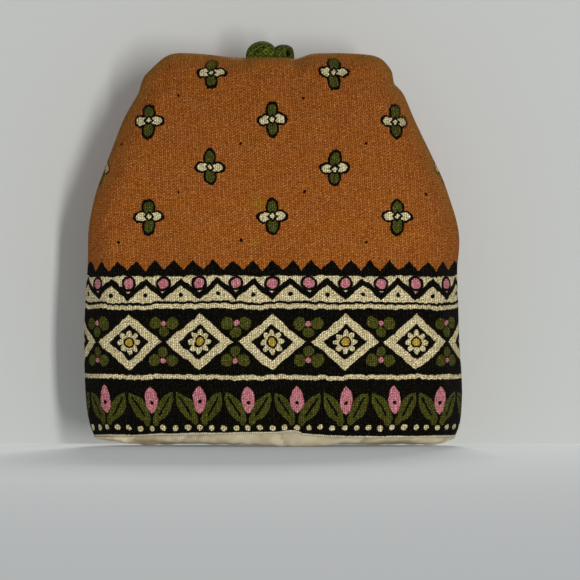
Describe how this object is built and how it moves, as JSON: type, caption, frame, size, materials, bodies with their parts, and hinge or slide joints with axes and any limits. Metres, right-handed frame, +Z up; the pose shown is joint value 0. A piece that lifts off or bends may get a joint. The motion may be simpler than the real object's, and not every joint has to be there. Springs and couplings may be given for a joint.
{
  "type": "egg cosy",
  "caption": "Padded printed-cloth egg cosy, a tapered pouch open at its hem, with a lining that rolls out under the hem and a soft cloth loop in the top seam.",
  "frame": {"origin": "on the table, under the middle of the cosy's box", "axes": "+Z up from the hem to the top seam, -Y out of the front panel, +X to the right as the front is seen"},
  "size_m": [0.0997, 0.0318, 0.107],
  "materials": {
    "printed_cloth": "open plain-weave printed cotton, matt, rust ground with cream, black and olive borders",
    "lining_cloth": "smooth fine cream cotton, soft sheen, creased",
    "loop_cloth": "green bias-cut cloth, matt"
  },
  "bodies": {
    "root": {"panel_front": "printed_cloth", "panel_back": "printed_cloth", "lining_front": "lining_cloth", "lining_back": "lining_cloth", "loop": "loop_cloth"}
  },
  "joints": []
}
